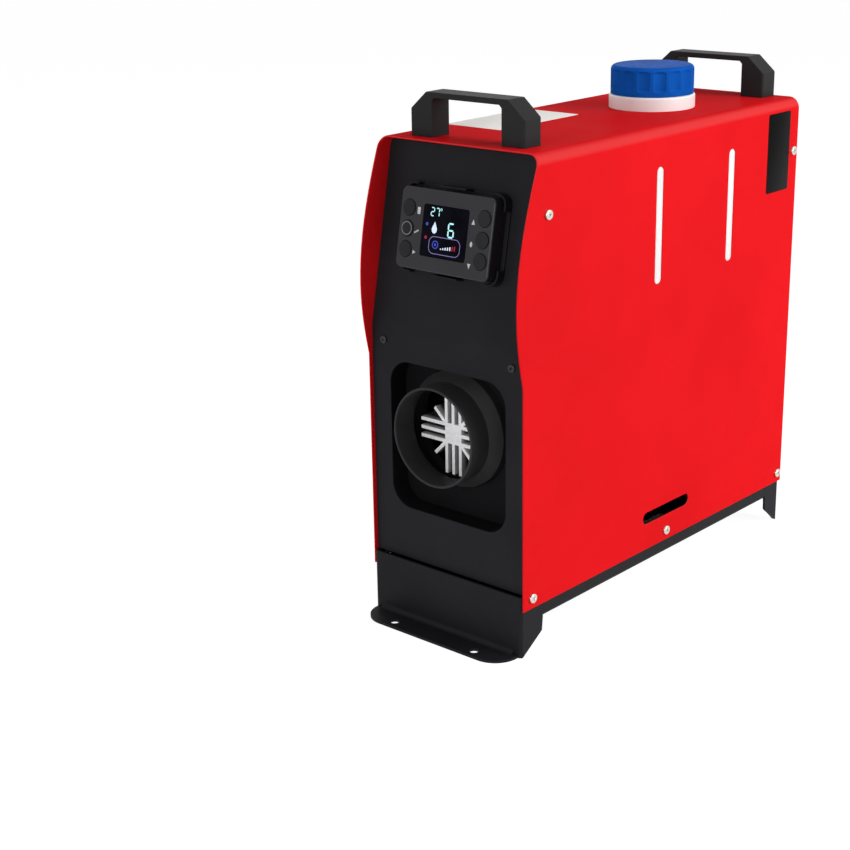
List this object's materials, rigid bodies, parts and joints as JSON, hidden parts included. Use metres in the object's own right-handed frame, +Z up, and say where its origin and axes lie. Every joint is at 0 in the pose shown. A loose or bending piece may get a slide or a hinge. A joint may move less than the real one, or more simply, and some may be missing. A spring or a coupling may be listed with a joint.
{
  "type": "diesel air heater",
  "caption": "Portable diesel air heater in an upright red case with fuel tank, carrying handles, tilted display controller and a round hot air outlet.",
  "frame": {"origin": "on the floor, under the middle of the whole length and width", "axes": "+X to the case's right as seen from the front, +Y to the back, +Z up; the outlet faces -Y"},
  "size_m": [0.1514, 0.3778, 0.3972],
  "materials": {
    "red_paint": "satin",
    "black_coat": "satin",
    "black_plastic": "satin",
    "control_plastic": "satin",
    "key_plastic": "satin",
    "screen_glass": "gloss",
    "white_plastic": "satin",
    "blue_plastic": "satin",
    "rubber": "matte",
    "cast_aluminium": "cast",
    "zinc_steel": "zinc plated",
    "black_screw": "satin",
    "steel": "bright",
    "brass": "bright",
    "clear_plastic": "satin",
    "wheel_plastic": "satin",
    "board": "satin"
  },
  "bodies": {
    "case": {"base_gasket": "rubber", "base_pan": "black_coat", "blower_housing": "cast_aluminium", "blower_motor": "steel", "burner": "steel", "button_switches": "board", "cable_grommet": "rubber", "case_screws": "zinc_steel", "case_shell": "red_paint", "control_back": "control_plastic", "control_board": "board", "control_bracket": "black_coat", "control_front": "control_plastic", "control_unit": "black_plastic", "exhaust_pipe": "steel", "feed_hose": "rubber", "front_foot": "black_coat", "front_handle": "black_plastic", "front_panel": "black_coat", "fuel_filter": "clear_plastic", "fuel_pipe": "steel", "fuel_pump": "black_plastic", "fuel_tank": "white_plastic", "glow_plug": "steel", "handle_screws": "zinc_steel", "heat_exchanger": "cast_aluminium", "inlet_hood": "black_plastic", "intake_guard": "black_plastic", "intake_pipe": "black_plastic", "jacket_lower": "black_plastic", "jacket_upper": "black_plastic", "mount_bridge": "zinc_steel", "mount_nuts": "zinc_steel", "neck_nut": "white_plastic", "outlet_duct": "black_plastic", "outlet_hood": "black_plastic", "overheat_sensor": "zinc_steel", "panel_screws": "black_screw", "pipe_seals": "rubber", "pocket_tray": "black_plastic", "pump_clamp": "zinc_steel", "rear_foot": "black_coat", "rear_handle": "black_plastic", "rear_panel": "black_coat", "screen": "screen_glass", "suction_hoses": "rubber", "tank_outlet": "brass", "tank_shelf": "zinc_steel"},
    "cap_seal": {"cap_liner": "rubber"},
    "cap": {"fuel_cap": "blue_plastic"},
    "rotor": {"rotor_shaft": "steel", "combustion_wheel": "wheel_plastic", "fan_wheel": "wheel_plastic"},
    "button_left_bottom": {"button_left_bottom": "key_plastic"},
    "button_left_middle": {"button_left_middle": "key_plastic"},
    "button_left_top": {"button_left_top": "key_plastic"},
    "button_right_bottom": {"button_right_bottom": "key_plastic"},
    "button_right_middle": {"button_right_middle": "key_plastic"},
    "button_right_top": {"button_right_top": "key_plastic"}
  },
  "joints": [
    {"name": "press_left_bottom", "type": "slide", "parent": "case", "child": "button_left_bottom", "axis": [0, 0.9826, -0.1857], "range_m": [0, 0.0009], "stiffness_N_per_m": 500},
    {"name": "press_left_middle", "type": "slide", "parent": "case", "child": "button_left_middle", "axis": [0, 0.9826, -0.1857], "range_m": [0, 0.0009], "stiffness_N_per_m": 500},
    {"name": "press_left_top", "type": "slide", "parent": "case", "child": "button_left_top", "axis": [0, 0.9826, -0.1857], "range_m": [0, 0.0009], "stiffness_N_per_m": 500},
    {"name": "press_right_bottom", "type": "slide", "parent": "case", "child": "button_right_bottom", "axis": [0, 0.9826, -0.1857], "range_m": [0, 0.0009], "stiffness_N_per_m": 500},
    {"name": "press_right_middle", "type": "slide", "parent": "case", "child": "button_right_middle", "axis": [0, 0.9826, -0.1857], "range_m": [0, 0.0009], "stiffness_N_per_m": 500},
    {"name": "press_right_top", "type": "slide", "parent": "case", "child": "button_right_top", "axis": [0, 0.9826, -0.1857], "range_m": [0, 0.0009], "stiffness_N_per_m": 500},
    {"name": "cap_rise", "type": "slide", "parent": "case", "child": "cap_seal", "axis": [0, 0, 1], "range_m": [0, 0.03901]},
    {"name": "cap_turn", "type": "hinge", "parent": "cap_seal", "child": "cap", "pos_m": [0.0052, 0.0797, 0.3845], "axis": [0, 0, 1], "range_deg": [0, 2160]},
    {"name": "fan_spin", "type": "hinge", "parent": "case", "child": "rotor", "pos_m": [0, 0.1039, 0.154], "axis": [0, 1, 0], "continuous": true}
  ],
  "couplings": [
    {"joint": "cap_rise", "follows": "cap_turn", "m_per_rad": 0.0010345}
  ]
}
